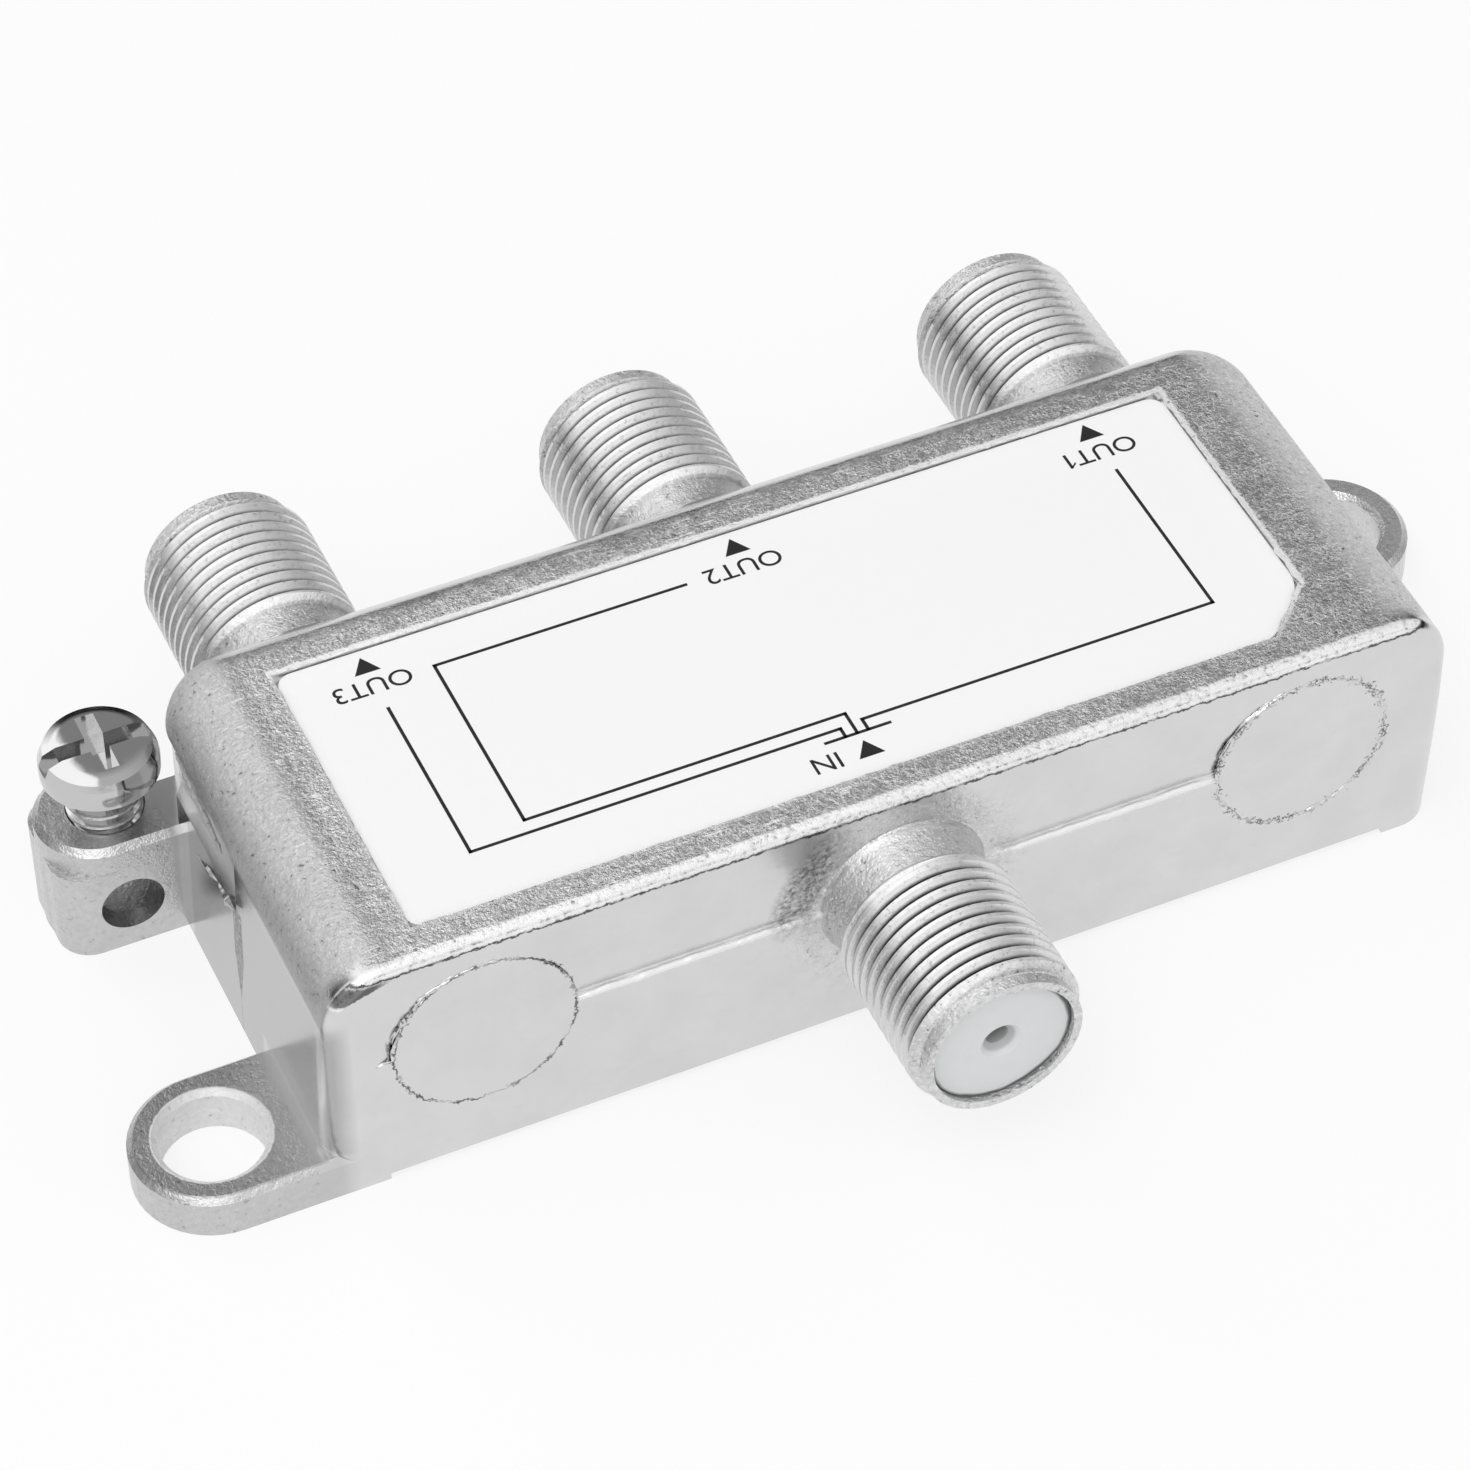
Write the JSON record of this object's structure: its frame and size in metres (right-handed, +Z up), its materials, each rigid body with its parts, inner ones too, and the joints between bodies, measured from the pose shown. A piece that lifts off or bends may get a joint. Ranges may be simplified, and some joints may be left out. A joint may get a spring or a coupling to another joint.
{
  "type": "coaxial splitter",
  "caption": "Die-cast coaxial signal splitter: flat box with threaded F ports on both long sides, fixing ears, an earth lug with its screw and a white label.",
  "frame": {"origin": "middle of the housing's footprint, on the back cover's outer face", "axes": "+Z up through the label, -Y out of the input port, +X along the outputs away from the earth lug"},
  "size_m": [0.0791, 0.0478, 0.0154],
  "materials": {
    "casting": "bright plated zinc die casting, satin, with worn edges",
    "cover_sheet": "tin-plated sheet steel",
    "label_film": "white gloss film with black line drawing",
    "screw_metal": "bright plated steel",
    "insulator_plastic": "milky white plastic",
    "contact_metal": "bright brass",
    "board_laminate": "glass-fibre laminate with green resist",
    "ferrite": "dull dark ferrite",
    "enamelled_wire": "copper-coloured enamelled wire",
    "diode_case": "moulded black plastic",
    "chip_ceramic": "tan ceramic chip",
    "chip_film": "black film resistor"
  },
  "bodies": {
    "splitter": {"housing": "casting", "back_cover": "cover_sheet", "label": "label_film", "input_insulator": "insulator_plastic", "input_contact": "contact_metal", "output_1_insulator": "insulator_plastic", "output_1_contact": "contact_metal", "output_2_insulator": "insulator_plastic", "output_2_contact": "contact_metal", "output_3_insulator": "insulator_plastic", "output_3_contact": "contact_metal", "circuit_board": "board_laminate", "matching_core": "ferrite", "splitter_core_1": "ferrite", "splitter_core_2": "ferrite", "input_choke_core": "ferrite", "output_choke_core_1": "ferrite", "output_choke_core_2": "ferrite", "output_choke_core_3": "ferrite", "matching_winding": "enamelled_wire", "splitter_winding_1": "enamelled_wire", "splitter_winding_2": "enamelled_wire", "input_choke_coil": "enamelled_wire", "output_choke_coil_1": "enamelled_wire", "output_choke_coil_2": "enamelled_wire", "output_choke_coil_3": "enamelled_wire", "steering_diode_1": "diode_case", "steering_diode_2": "diode_case", "steering_diode_3": "diode_case", "blocking_capacitor_1": "chip_ceramic", "blocking_capacitor_2": "chip_ceramic", "blocking_capacitor_3": "chip_ceramic", "blocking_capacitor_4": "chip_ceramic", "decoupling_capacitor_1": "chip_ceramic", "decoupling_capacitor_2": "chip_ceramic", "decoupling_capacitor_3": "chip_ceramic", "matching_capacitor": "chip_ceramic", "balance_resistor_1": "chip_film", "balance_resistor_2": "chip_film", "input_resistor": "chip_film"},
    "screw": {"ground_screw": "screw_metal"}
  },
  "joints": [
    {"name": "earth_screw_travel", "type": "slide", "parent": "splitter", "child": "screw", "axis": [0, 0, 1], "range_m": [-0.0019, 0.0036]}
  ]
}
